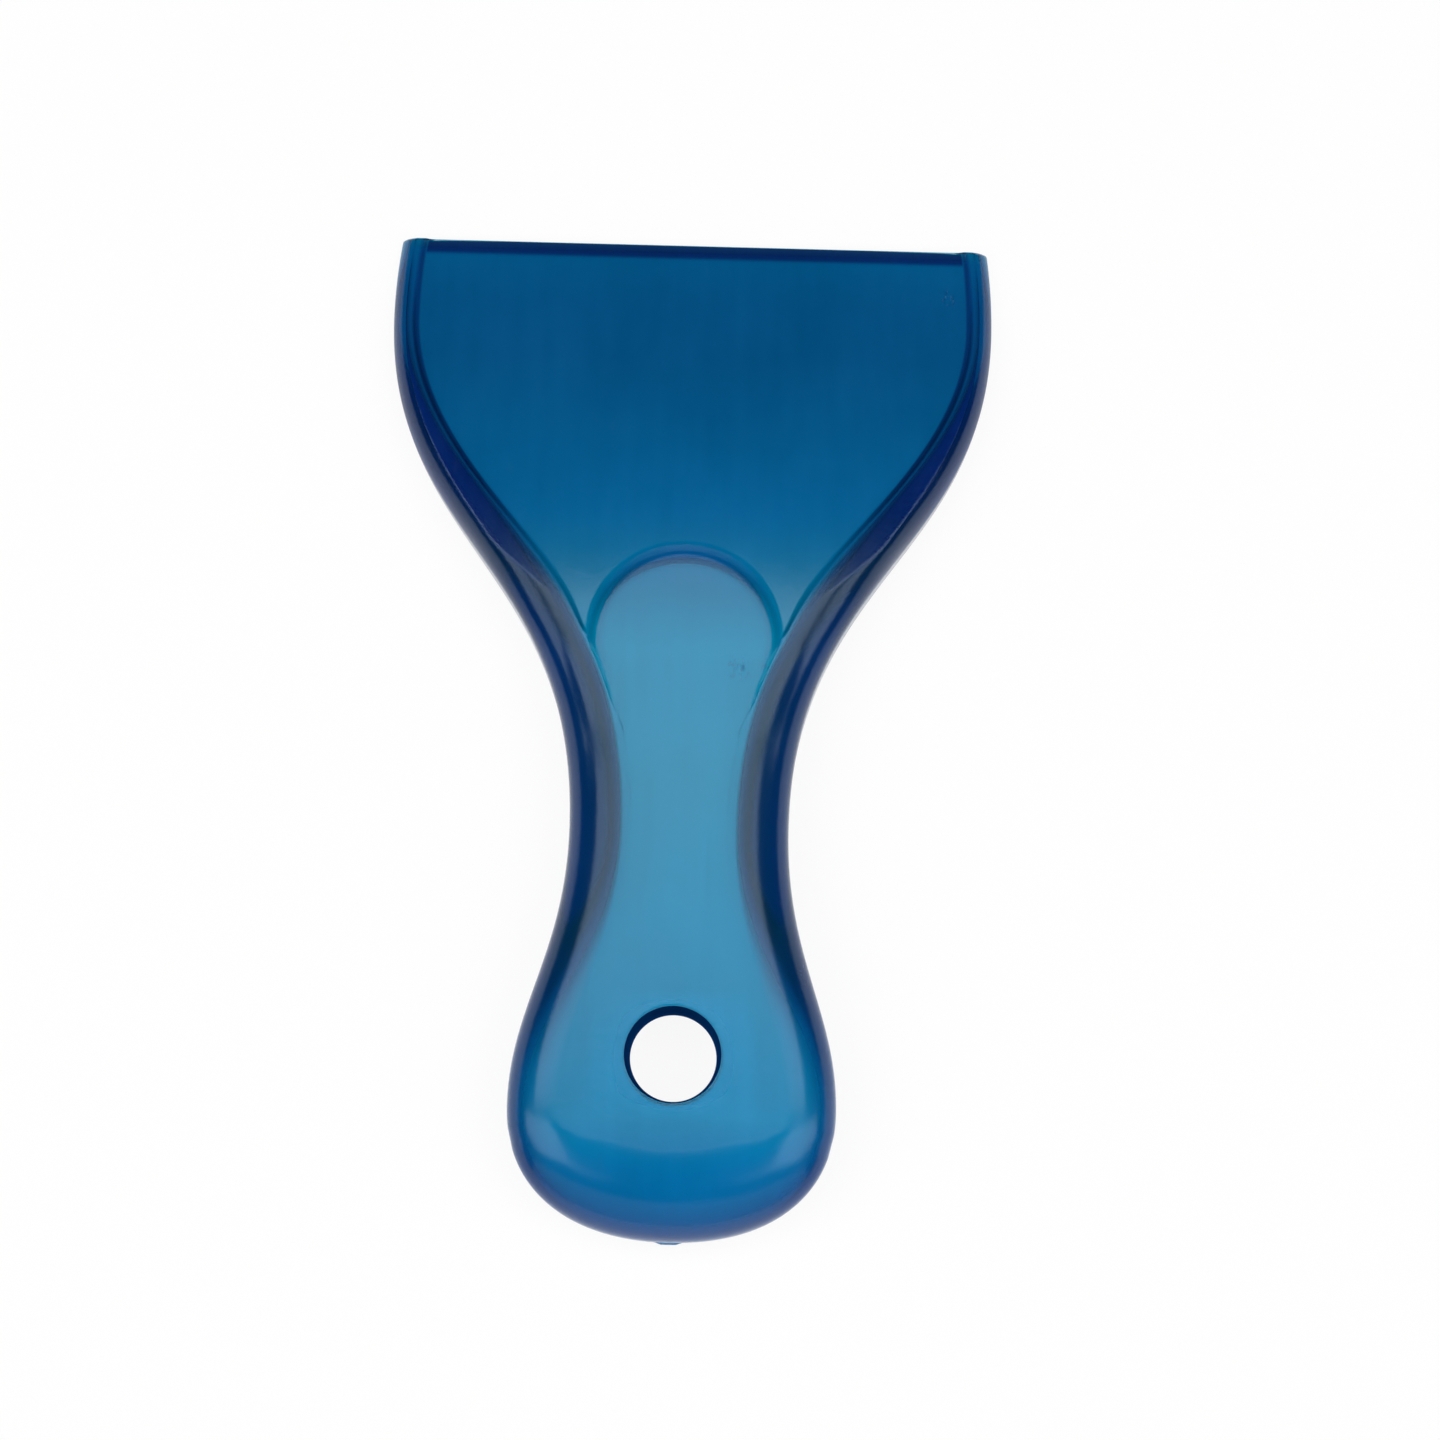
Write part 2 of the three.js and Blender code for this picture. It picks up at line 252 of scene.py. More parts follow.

# %% [markdown]
# ## One cross-section
# A cross-section of a shell is a closed ring: along the foot of the wall, up its outside, round the shoulder,
# down to the blade's floor, over the thumb rest to the middle, and back along the inside. Only the right
# half is worked out, because the left is its mirror image. Every ring has the same number of points, so
# that the rings can be joined into one skin. Each point also carries two marks for the paint: how far it is
# darkened by painted shade at the bevel and the rail flanks, or whitened by wear and the gate mark, and
# whether it lies underneath.

# %% Cross-section of the right half
WALL_STEPS, SHOULDER_STEPS, CREST_STEPS, FLANK_STEPS, SLOPE_STEPS, DISH_STEPS = 12, 40, 4, 8, 12, 14
FOOT_POINTS, FOOT_SHARE, FLOOR_SHARES = 4, 0.9, (0.02, 0.08, 0.3, 0.7, 0.92, 0.98, 1)
EDGE_THICK, UNDER_BEVEL, CREST_LEAST, FAN_MIDDLE = 0.25, 1.8, 0.3, 152.5
EDGE_ROUND, INSIDE_ROUND, UNDER_ROUND = 0.4, 0.8, 0.35
THUMB_FRONT_WALL, THUMB_SIDE_WALL, THUMB_UNDER_SLOPE, DISH_EDGE = 2.4, 0.9, 2.0, 8.0
# Painted shade on the bevel and the rail flanks: how dark and how far back; then where the edge is worn.
FLANK_SHADE, EDGE_WEAR, CORNER_WEAR = 0.85, 0.08, 0.3
BEVEL_FADE, FLANK_FADE, WEAR_ACROSS = (2.1, 3.0), (40.0, 58.0), (34.0, 47.0)
GATE_FROM, GATE_OUT = 169.0, 0.35
NEARLY_NONE = 0.01


def half_section(rim, inward):
    rim, inward = np.array(rim, float), np.array(inward, float)
    behind = rim[1]
    flat = rim + inward * shoulder_reach(behind)
    seat_at = flat[1]
    foot_x, crest_x = (thumb_half(seat_at, flat[0], spread) for spread in (THUMB_SLOPE, 0))
    across = np.hypot(*(flat - rim))
    flank = across - flank_width(behind)
    ridge = min(ridge_reach(behind), flank - CREST_LEAST) if behind < BULB_AT else flank - CREST_LEAST
    crown, top, floor = crown_height(seat_at), ridge_height(seat_at), blade_top(seat_at)
    hollow = max(1 - seat_at / UNDER_BEVEL, 0) * (WALL - EDGE_DROP - EDGE_THICK)
    roof = blade_height(seat_at) - WALL + hollow
    fall = shoulder_fall(behind)
    thick = min(side_wall(behind), flank - INSIDE_ROUND)
    inside_fall = max(roof - top + fall, min(INSIDE_ROUND, roof / 2))
    front = max(1 - behind / EDGE_ROUND, 0)
    nose = EDGE_ROUND * (1 - math.sqrt(1 - front**2))
    ahead = max(THUMB_AT - seat_at, 0)
    tail_foot = ease(THUMB_RADIUS + THUMB_SLOPE, flat[0] * THUMB_TAIL, THUMB_AT, LEVEL_AT, seat_at)

    def tops(x):
        if ahead > 0:
            away = math.hypot(x, ahead)
        elif x <= crest_x:
            away = THUMB_RADIUS * x / max(crest_x, NEARLY_NONE)
        else:
            away = THUMB_RADIUS + THUMB_SLOPE * (x - crest_x) / max(tail_foot - crest_x, NEARLY_NONE)
        from_foot = THUMB_RADIUS + THUMB_SLOPE - away
        aside = min(x / max(away, NEARLY_NONE), 1) ** 2 if ahead > 0 else 1
        inset = (THUMB_FRONT_WALL + (THUMB_SIDE_WALL - THUMB_FRONT_WALL) * aside) * step_left(seat_at)
        sunk = dish(x, seat_at) * soft_step(from_foot, 0, DISH_EDGE)
        over = floor + (crown - floor) * ramp_step(from_foot, 0, THUMB_SLOPE) - sunk
        under_rise = ramp_step(from_foot, inset, inset + THUMB_UNDER_SLOPE, UNDER_ROUND)
        return over, roof + (crown - roof - WALL) * under_rise - sunk

    seat_z = tops(flat[0])[0]
    outer, inner = [], []
    # Painted shade: the bevel and the foot of the rails are painted navy, where the light bends away from
    # them.
    bevel_shade = 1 - soft_step(seat_at, *BEVEL_FADE)
    flank_shade = FLANK_SHADE * (1 - soft_step(seat_at, *FLANK_FADE))

    def add(over_plan, over_z, under_plan, under_z, painted_shade_and_wear=0):
        outer.append((*over_plan, over_z, painted_shade_and_wear, 0))
        inner.append((*under_plan, under_z, painted_shade_and_wear, 1))

    def add_top(plan):
        over_z, under_z = tops(plan[0])
        worn = seat_at < EDGE_WEAR + CORNER_WEAR * soft_step(plan[0], *WEAR_ACROSS)
        add(plan, over_z, plan, under_z, -1.0 if worn else bevel_shade)

    foot_in = min(EDGE_ROUND, FOOT_SHARE * (roof - inside_fall))
    add(rim + inward * thick / 2, 0, rim + inward * thick / 2, 0)
    for turn in np.linspace(0, math.pi / 2, FOOT_POINTS):
        side, up = 1 - math.sin(turn), 1 - math.cos(turn)
        under = rim + inward * (thick - foot_in * side)
        add(rim + inward * EDGE_ROUND * side, EDGE_ROUND * up, under, foot_in * up)
    for share in np.linspace(0, 1, WALL_STEPS + 1)[1:-1]:
        over_z = EDGE_ROUND + (top - fall - nose - EDGE_ROUND) * share
        gate = gate_mark(rim[0], over_z) if behind > GATE_FROM else 0
        under_z = foot_in + (roof - inside_fall - foot_in) * share
        add(rim - inward * GATE_OUT * gate, over_z, rim + inward * thick, under_z, -gate)
    for turn in np.linspace(0, math.pi / 2, SHOULDER_STEPS + 1):
        over, down = shoulder_curve(turn, behind)
        under = rim + inward * (thick + (flank - thick) * (1 - math.cos(turn)))
        under_z = roof - inside_fall * (1 - math.sin(turn))
        add(rim + inward * ridge * over, top - nose - fall * down, under, under_z)
    for share in np.linspace(0, 1, CREST_STEPS + 1)[1:] ** 2:
        add(rim + inward * (ridge + (flank - ridge) * share), top - nose, rim + inward * flank, roof)
    for share in np.linspace(0, 1, FLANK_STEPS + 1)[1:]:
        plan = rim + inward * (flank + (across - flank) * share)
        over_z = top - nose + (seat_z - top + nose) * soft_step(share, 0, 1)
        painted_shade_and_wear = flank_shade * math.sin(math.pi * share) if share < 1 else bevel_shade
        add(plan, over_z, plan, roof, painted_shade_and_wear)

    middle = min(seat_at, FAN_MIDDLE)

    def toward_middle(x, share):
        return np.array([x, middle + (seat_at - middle) * share * THUMB_TAIL])

    for share in FLOOR_SHARES:
        plan = flat + (toward_middle(foot_x, 1) - flat) * share
        add_top(plan)
    for share in np.linspace(0, 1, SLOPE_STEPS + 1)[1:]:
        plan = toward_middle(thumb_half(seat_at, flat[0], THUMB_SLOPE * (1 - share)), 1)
        add_top(plan)
    for share in np.linspace(1, 0, DISH_STEPS + 1)[1:]:
        plan = toward_middle(share * crest_x, share)
        add_top(plan)
    return outer, inner


print("points in half a section:", 2 * len(half_section((half_width(HORN_AT), HORN_AT), (-1, 0))[0]))

# %% [markdown]
# ## Rings along the tool
# A skin needs its sections close together where the shape turns quickly, and far apart where it runs
# straight. So the rows crowd at the bevelled edge, along the slanting horns and round the front of the thumb
# rest. Round the rear end they fan out, each section square to the outline. The first ring is folded flat,
# which closes the edge.

# %% Rings from the blade edge to the rear end
SIDES_END, FAN_FROM = 151.5, 154.6
BLADE_ROWS, THUMB_ROWS, TAIL_ROWS, GRIP_ROWS, REAR_ROWS = 76, 40, 15, 54, 38
front_rows = [0, 0.06, 0.15, 0.28, 0.42, 0.7, 1.1, 1.5, 1.8, 2.1, 2.3, 2.4, 2.5, 2.6, 2.7, 2.85, 3.05, 3.4]
blade_rows = list(np.linspace(4, thumb_tip - 1, BLADE_ROWS)) + [thumb_tip - 0.4, thumb_tip - 0.1, thumb_tip]
thumb_rows = list(np.linspace(thumb_tip, crest_tip, SLOPE_STEPS + 1)[1:])
thumb_rows += [THUMB_AT - THUMB_RADIUS * math.cos(a) for a in np.linspace(0, math.pi / 2, THUMB_ROWS)[1:]]
tail_rows = list(np.linspace(THUMB_AT, LEVEL_AT, TAIL_ROWS)[1:])
grip_rows = list(np.linspace(LEVEL_AT, SIDES_END, GRIP_ROWS)[1:])
side_rows = front_rows + blade_rows + thumb_rows + tail_rows + grip_rows
halves = [half_section((half_width(s), s), (-1, 0)) for s in side_rows]

rear_start = np.searchsorted(rear_end[:, 1], FAN_FROM)
for i in np.linspace(rear_start, len(rear_end) - 1, REAR_ROWS).astype(int)[1:]:
    along = rear_end[min(i + 1, len(rear_end) - 1)] - rear_end[i - 1]
    if i == len(rear_end) - 1:
        along = np.array([-1.0, 0.0])
    inward = np.array([-along[1], along[0]]) / np.hypot(*along)
    halves.append(half_section(rear_end[i], inward))


def ring(outer, inner):
    left = [(-x, *rest) for x, *rest in outer], [(-x, *rest) for x, *rest in inner]
    return outer + left[0][-2::-1] + left[1][1:] + inner[-2::-1]


rings = [ring(halves[0][0], halves[0][0])] + [ring(*half) for half in halves]
rows, columns = len(rings), len(rings[0])
points = np.array(rings)
places = np.stack([points[..., 0], LENGTH / 2 - points[..., 1], points[..., 2]], axis=-1) * MM
print("rings:", rows, "points in each:", columns)

# %% [markdown]
# ## The skin
# By hand one would lay a grid over the tool and pull its points into place. That is done here: a flat grid
# with one row for each ring, whose points then move to their places on the rings. The two marks of each point
# become attributes of the mesh, which the paint reads.

# %% Grid pulled over the rings
bpy.ops.object.select_all(action="DESELECT")
bpy.ops.mesh.primitive_grid_add(x_subdivisions=columns - 1, y_subdivisions=rows - 1, size=1)
moulding = bpy.context.active_object
moulding.name = "scraper_moulding"
print("grid points:", len(moulding.data.vertices), "wanted:", rows * columns)
moulding.data.vertices.foreach_set("co", places.reshape(-1))
for column, name in ((3, "painted_shade_and_wear"), (4, "under")):
    mask = moulding.data.attributes.new(name, "FLOAT", "POINT")
    mask.data.foreach_set("value", points[..., column].reshape(-1))
moulding.data.update()

# %% [markdown]
# ## Closing the skin
# The first row is folded shut at the blade edge, the last one closes along the middle of the rear end, and
# merging the points that meet makes a closed shell. A window is left open in the roof, above and below, for
# the sleeve of the hole.

# %% Window for the sleeve, and points merged
MERGE, SLIVER = 0.002 * MM, 0.0005 * MM
WINDOW_FRONT, WINDOW_REAR = 127.4, 150.6
half_count = len(halves[0][0])
window_rows = [i for i, s in enumerate(side_rows, start=1) if WINDOW_FRONT < s < WINDOW_REAR]
outer_middle, inner_middle = half_count - 1, 3 * (half_count - 1)
window_faces = set()
for row in range(window_rows[0], window_rows[-1]):
    for middle in (outer_middle, inner_middle):
        for column in range(middle - DISH_STEPS + 1, middle + DISH_STEPS - 1):
            window_faces.add(row * (columns - 1) + column)


def select_only(kind, items, wanted):
    bpy.ops.object.mode_set(mode="EDIT")
    bpy.ops.mesh.select_mode(type=kind)
    bpy.ops.mesh.select_all(action="DESELECT")
    bpy.ops.object.mode_set(mode="OBJECT")
    items.foreach_set("select", wanted)
    bpy.ops.object.mode_set(mode="EDIT")


select_only("FACE", moulding.data.polygons, [i in window_faces for i in range(len(moulding.data.polygons))])
bpy.ops.mesh.delete(type="FACE")
bpy.ops.mesh.select_all(action="SELECT")
bpy.ops.mesh.remove_doubles(threshold=MERGE)
bpy.ops.mesh.dissolve_degenerate(threshold=SLIVER)
bpy.ops.mesh.select_all(action="SELECT")
bpy.ops.mesh.normals_make_consistent(inside=False)
bpy.ops.object.mode_set(mode="OBJECT")
print("shell faces:", len(moulding.data.polygons))

# %% [markdown]
# ## The sleeve of the hanging hole
# On the real tool the hole goes through a tube moulded under the roof, a little narrower at the bottom so
# that it leaves the mould. A lathe would make it, and the Spin tool is Blender's lathe: the profile is drawn
# point by point with Extrude, each point a radius and a height, then spun once round the axis of the hole.

# %% Spin the sleeve
HOLE_AT = 139.0


def arc(middle, radius, start, end, count=6):
    turns = np.radians(np.linspace(start, end, count))
    return [(middle[0] + radius * math.cos(t), middle[1] + radius * math.sin(t)) for t in turns]


roof = HANDLE_HEIGHT - WALL
profile = [(8.9, HANDLE_HEIGHT), (8.5, HANDLE_HEIGHT)] + arc((8.3, 16.8), 0.2, 90, 180)
profile += [(7.9, 12.0), (7.7, 8.0), (7.5, 4.0)]
profile += arc((7.55, 0.25), 0.25, 180, 270, 4) + arc((7.6, 0.2), 0.2, 270, 360, 4)
profile += [(8.0, 5.0), (8.2, 10.0)] + arc((8.45, roof - 0.15), 0.15, 180, 90) + [(8.8, roof)]
hole_y = LENGTH / 2 - HOLE_AT

bpy.ops.object.select_all(action="DESELECT")
bpy.ops.mesh.primitive_plane_add(size=MM, location=(0, 0, 0))
sleeve = bpy.context.active_object
bpy.ops.object.mode_set(mode="EDIT")
bpy.ops.mesh.select_mode(type="VERT")
bpy.ops.mesh.select_all(action="SELECT")
bpy.ops.mesh.merge(type="CENTER")
start = profile[0]
bpy.ops.transform.translate(value=(start[0] * MM, hole_y * MM, start[1] * MM))
for before, after in zip(profile, profile[1:]):
    shift = ((after[0] - before[0]) * MM, 0, (after[1] - before[1]) * MM)
    bpy.ops.mesh.extrude_vertices_move(TRANSFORM_OT_translate={"value": shift})
window_edges = 2 * (len(window_rows) - 1) + 2 * (2 * DISH_STEPS - 2)
bpy.ops.mesh.select_all(action="SELECT")
bpy.ops.mesh.spin(
    steps=window_edges, angle=2 * math.pi, center=(0, hole_y * MM, 0), axis=(0, 0, 1), use_auto_merge=True
)
bpy.ops.mesh.select_all(action="SELECT")
bpy.ops.mesh.remove_doubles(threshold=MERGE)
bpy.ops.object.mode_set(mode="OBJECT")
print("sleeve faces:", len(sleeve.data.polygons), "round steps:", window_edges)

# %% [markdown]
# ## Joining the sleeve to the roof
# In the mould the sleeve and the roof are one piece, so the two meshes are joined as well. Bridge Edge Loops
# fills the gap between the square window and the round sleeve, once on top and once underneath. A mesh that
# is filled with coloured plastic must be closed, so the open edges are counted at the end.

# %% Join the sleeve to the roof
TOP_BORDER, UNDER_BORDER = (16, 18), (13, 16)
SMOOTH_ANGLE = 40


def is_border_at(mesh, low, high):
    uses = {}
    for polygon in mesh.polygons:
        for key in polygon.edge_keys:
            uses[key] = uses.get(key, 0) + 1
    z = [v.co.z / MM for v in mesh.vertices]
    return [uses.get(e.key, 0) == 1 and all(low < z[v] < high for v in e.vertices) for e in mesh.edges]


bpy.ops.object.select_all(action="DESELECT")
sleeve.select_set(True)
moulding.select_set(True)
bpy.context.view_layer.objects.active = moulding
bpy.ops.object.join()
for low, high in (TOP_BORDER, UNDER_BORDER):
    borders = is_border_at(moulding.data, low, high)
    select_only("EDGE", moulding.data.edges, borders)
    bpy.ops.mesh.bridge_edge_loops(number_cuts=2, interpolation="LINEAR")
    bpy.ops.object.mode_set(mode="OBJECT")
    print("bridged", sum(borders), "border edges between", low, "and", high, "mm")

bpy.ops.object.mode_set(mode="EDIT")
bpy.ops.mesh.select_all(action="SELECT")
bpy.ops.mesh.normals_make_consistent(inside=False)
bpy.ops.object.mode_set(mode="OBJECT")
open_edges = sum(is_border_at(moulding.data, -1, LENGTH))
print("open edges left:", open_edges, "faces:", len(moulding.data.polygons))

bpy.ops.object.shade_smooth_by_angle(angle=math.radians(SMOOTH_ANGLE))

# %% [markdown]
# ## Satin blue plastic
# The plastic is coloured all through: light that crosses a thin wall comes out bright blue, and light that
# crosses the thick sides comes out navy. Transmission with Volume Absorption does just that. A colour ramp
# along the tool gives the plastic its blue with painted shade in it: the blade is painted deeper blue than
# the handle, because it lies close to the floor and little light gets under it. The underside is rougher,
# as an unpolished mould leaves it. The mesh's painted shade mark darkens the bevel and the foot of the rails
# to navy, and it also whitens the worn edge and the gate mark.

# %% Satin blue plastic
ABSORPTION, PAINTED_SHADE_NAVY = 1200, (0.02, 0.072, 0.2, 1)
SATIN, ROUGH_UNDERSIDE = 0.17, 0.7
plastic = bpy.data.materials.new("satin_blue_plastic")
plastic.use_nodes = True
nodes, links = plastic.node_tree.nodes, plastic.node_tree.links
surface = nodes["Principled BSDF"]
surface.inputs["IOR"].default_value = 1.5
surface.inputs["Specular Tint"].default_value = (0.63, 0.8, 1, 1)
surface.inputs["Transmission Weight"].default_value = 0.96
body = nodes.new("ShaderNodeVolumeAbsorption")
body.inputs["Color"].default_value = (0.0, 0.655, 0.904, 1)
body.inputs["Density"].default_value = ABSORPTION
links.new(body.outputs["Volume"], nodes["Material Output"].inputs["Volume"])
place = nodes.new("ShaderNodeTexCoord")
split = nodes.new("ShaderNodeSeparateXYZ")
links.new(place.outputs["Object"], split.inputs["Vector"])
along = nodes.new("ShaderNodeMapRange")
along.inputs["From Min"].default_value = LENGTH / 2 * MM
along.inputs["From Max"].default_value = -LENGTH / 2 * MM
links.new(split.outputs["Y"], along.inputs["Value"])
ramp = nodes.new("ShaderNodeValToRGB")
links.new(along.outputs["Result"], ramp.inputs["Fac"])
# Painted shade: the stops darken the blade and lighten the handle, for the light that reaches under them.
blue_with_painted_shade = (
    (0.0, 0.33, 0.41), (0.06, 0.285, 0.375), (0.12, 0.285, 0.375), (0.28, 0.41, 0.50),
    (0.365, 0.54, 0.515), (0.42, 0.74, 0.65), (0.55, 0.755, 0.65),
    (0.88, 0.70, 0.68), (0.93, 0.53, 0.62), (1.0, 0.48, 0.58),
)
ramp.color_ramp.elements.remove(ramp.color_ramp.elements[1])
for place_along, green, blue in blue_with_painted_shade:
    stop = ramp.color_ramp.elements.new(place_along) if place_along > 0 else ramp.color_ramp.elements[0]
    stop.color = (0.003, green, blue, 1)
# Painted shade: navy is mixed in by the mesh mark at the bevel and the foot of the rails.
painted_shade_mix = nodes.new("ShaderNodeMix")
painted_shade_mix.data_type = "RGBA"
painted_shade_mix.inputs["B"].default_value = PAINTED_SHADE_NAVY
painted = nodes.new("ShaderNodeAttribute")
painted.attribute_name = "painted_shade_and_wear"
links.new(painted.outputs["Fac"], painted_shade_mix.inputs["Factor"])
links.new(ramp.outputs["Color"], painted_shade_mix.inputs["A"])
below = nodes.new("ShaderNodeAttribute")
below.attribute_name = "under"
matt = nodes.new("ShaderNodeMapRange")
matt.inputs["To Min"].default_value = SATIN
matt.inputs["To Max"].default_value = ROUGH_UNDERSIDE
links.new(below.outputs["Fac"], matt.inputs["Value"])
print("colour stops along the tool:", len(ramp.color_ramp.elements))

# %% [markdown]
# ## Grain, clouds, specks and scuffs
# No moulding is perfectly even. Two node groups make the marks of this one: a fine satin grain with faint
# clouds and flow lines and tiny dark and pale specks, and a few scuffed spots and hair scratches from use.
# The groups only give masks and values, so that the shader itself stays in the material.

# %% Satin grain, clouds, specks and scuffs
def group_with(name, outputs):
    group = bpy.data.node_groups.new(name, "ShaderNodeTree")
    group.interface.new_socket("Vector", in_out="INPUT", socket_type="NodeSocketVector")
    for output in outputs:
        group.interface.new_socket(output, in_out="OUTPUT", socket_type="NodeSocketFloat")
    return group, group.nodes.new("NodeGroupInput"), group.nodes.new("NodeGroupOutput")


def noise(group, vector, scale, detail=2.0, stretch=(1, 1, 1)):
    fit = group.nodes.new("ShaderNodeVectorMath")
    fit.operation = "MULTIPLY"
    fit.inputs[1].default_value = [scale * s for s in stretch]
    group.links.new(vector, fit.inputs[0])
    texture = group.nodes.new("ShaderNodeTexNoise")
    texture.inputs["Scale"].default_value = 1.0
    texture.inputs["Detail"].default_value = detail
    group.links.new(fit.outputs["Vector"], texture.inputs["Vector"])
    return texture.outputs["Fac"]


def remap(group, value, low, high, to_low=0.0, to_high=1.0):
    node = group.nodes.new("ShaderNodeMapRange")
    node.inputs["From Min"].default_value, node.inputs["From Max"].default_value = low, high
    node.inputs["To Min"].default_value, node.inputs["To Max"].default_value = to_low, to_high
    group.links.new(value, node.inputs["Value"])
    return node.outputs["Result"]


def math_node(group, operation, first, second):
    node = group.nodes.new("ShaderNodeMath")
    node.operation = operation
    for socket, value in zip(node.inputs, (first, second)):
        if isinstance(value, (int, float)):
            socket.default_value = value
        else:
            group.links.new(value, socket)
    return node.outputs["Value"]


satin, enter, leave = group_with("satin_skin", ["Grain", "Cloud", "Speck", "Fleck"])
vector = enter.outputs["Vector"]
grain = math_node(satin, "ADD", noise(satin, vector, 2400), noise(satin, vector, 700))
satin.links.new(grain, leave.inputs["Grain"])
cloud = noise(satin, vector, 38, 3.0)
flow = noise(satin, vector, 420, 2.0, (1, 0.06, 1))
cloud = math_node(satin, "ADD", cloud, math_node(satin, "MULTIPLY", flow, 0.5))
satin.links.new(cloud, leave.inputs["Cloud"])
for output, scale, chance in (("Speck", 85, 0.12), ("Fleck", 70, 0.12)):
    dots = satin.nodes.new("ShaderNodeTexVoronoi")
    dots.inputs["Scale"].default_value = scale
    satin.links.new(vector, dots.inputs["Vector"])
    near = remap(satin, dots.outputs["Distance"], 0.022, 0.012)
    chosen = remap(satin, dots.outputs["Color"], chance, chance - 0.01)
    satin.links.new(math_node(satin, "MULTIPLY", near, chosen), leave.inputs[output])
print("satin skin nodes:", len(satin.nodes))

wear, enter, leave = group_with("scuffs_and_scratches", ["Scuff", "Scratch"])
vector = enter.outputs["Vector"]
spots = []
for x, y, reach in ((9.6, 11.5, 2.6), (13.3, 11.3, 0.9), (43.5, 76.7, 1.5), (21.5, -40, 2.2)):
    gap = wear.nodes.new("ShaderNodeVectorMath")
    gap.operation = "DISTANCE"
    flat = wear.nodes.new("ShaderNodeVectorMath")
    flat.operation = "MULTIPLY"
    flat.inputs[1].default_value = (1, 0.7, 0)
    wear.links.new(vector, flat.inputs[0])
    wear.links.new(flat.outputs["Vector"], gap.inputs[0])
    gap.inputs[1].default_value = (x * MM, 0.7 * y * MM, 0)
    spots.append(remap(wear, gap.outputs["Value"], reach * MM, 0.3 * reach * MM))
patch = spots[0]
for spot in spots[1:]:
    patch = math_node(wear, "MAXIMUM", patch, spot)
broken = remap(wear, noise(wear, vector, 1500, 4.0, (1, 0.45, 1)), 0.56, 0.68)
wear.links.new(math_node(wear, "MULTIPLY", patch, broken), leave.inputs["Scuff"])
lines = remap(wear, noise(wear, vector, 900, 1.0, (1, 0.035, 1)), 0.69, 0.73)
places_worn = remap(wear, noise(wear, vector, 60, 1.0), 0.5, 0.62)
wear.links.new(math_node(wear, "MULTIPLY", lines, places_worn), leave.inputs["Scratch"])
print("wear nodes:", len(wear.nodes))

# %% [markdown]
# ## Putting the details on
# The masks change the plastic only a little: clouds vary the blue, specks and scuffs darken it, and the worn
# blade edge turns pale. They also change the roughness, because that is what the eye reads on a satin
# surface. The grain goes into a Bump node, since it is far too fine to model.

# %% Put the details on the plastic
DARK_SPECK, PALE_FLECK = (0.001, 0.01, 0.04, 1), (0.35, 0.8, 0.9, 1)
SCUFFED, WHITENED = (0.02, 0.12, 0.2, 1), (0.45, 0.68, 0.78, 1)
GRAIN_HEIGHT = 0.03 * MM
tree = plastic.node_tree
skin = nodes.new("ShaderNodeGroup")
skin.node_tree = satin
marks = nodes.new("ShaderNodeGroup")
marks.node_tree = wear
for group in (skin, marks):
    links.new(place.outputs["Object"], group.inputs["Vector"])


def mix_colour(factor, first, second):
    node = nodes.new("ShaderNodeMix")
    node.data_type = "RGBA"
    links.new(factor, node.inputs["Factor"])
    links.new(first, node.inputs["A"])
    node.inputs["B"].default_value = second
    return node.outputs["Result"]


worn_edge = remap(tree, painted.outputs["Fac"], -0.2, -0.8)
uneven = nodes.new("ShaderNodeHueSaturation")
links.new(remap(tree, skin.outputs["Cloud"], 0.5, 1.0, 0.9, 1.1), uneven.inputs["Value"])
links.new(painted_shade_mix.outputs["Result"], uneven.inputs["Color"])
colour = mix_colour(skin.outputs["Speck"], uneven.outputs["Color"], DARK_SPECK)
colour = mix_colour(math_node(tree, "MULTIPLY", skin.outputs["Fleck"], 0.5), colour, PALE_FLECK)
colour = mix_colour(math_node(tree, "MULTIPLY", marks.outputs["Scuff"], 0.6), colour, SCUFFED)
colour = mix_colour(worn_edge, colour, WHITENED)
links.new(colour, surface.inputs["Base Color"])
clouded = remap(tree, skin.outputs["Cloud"], 0.5, 1.0, -0.03, 0.03)
rough = math_node(tree, "ADD", matt.outputs["Result"], clouded)
rough = math_node(tree, "ADD", rough, math_node(tree, "MULTIPLY", marks.outputs["Scratch"], 0.04))
rough = math_node(tree, "ADD", rough, math_node(tree, "MULTIPLY", marks.outputs["Scuff"], 0.3))
links.new(rough, surface.inputs["Roughness"])
dug = math_node(tree, "MULTIPLY", marks.outputs["Scuff"], 1.5)
height = math_node(tree, "SUBTRACT", skin.outputs["Grain"], dug)
bump = nodes.new("ShaderNodeBump")
bump.inputs["Strength"].default_value = 0.4
bump.inputs["Distance"].default_value = GRAIN_HEIGHT
links.new(height, bump.inputs["Height"])
links.new(bump.outputs["Normal"], surface.inputs["Normal"])
print("nodes in the plastic:", len(nodes))

# %% [markdown]
# ## The wall of the hole
# The inside of the hole is painted dull navy, a painted shade for the little light that comes down through
# the sleeve. A second, opaque material with faint drag lines from the mould's pin gives that look. Its faces
# are found by place: close to the axis and looking inward. The finished moulding then rides the frame's one
# body and replaces all of its nodes, which are hidden.

# %% Dull wall of the hole
BORE_REACH, BORE_TOP = 8.2, 16.6
bore = bpy.data.materials.new("bore_wall_painted_shade")
bore.use_nodes = True
bore_surface = bore.node_tree.nodes["Principled BSDF"]
bore_surface.inputs["Specular IOR Level"].default_value = 0.0
bore_place = bore.node_tree.nodes.new("ShaderNodeTexCoord")
drag = noise(bore.node_tree, bore_place.outputs["Object"], 900, 2.0, (1, 1, 0.1))
bore_ramp = bore.node_tree.nodes.new("ShaderNodeValToRGB")
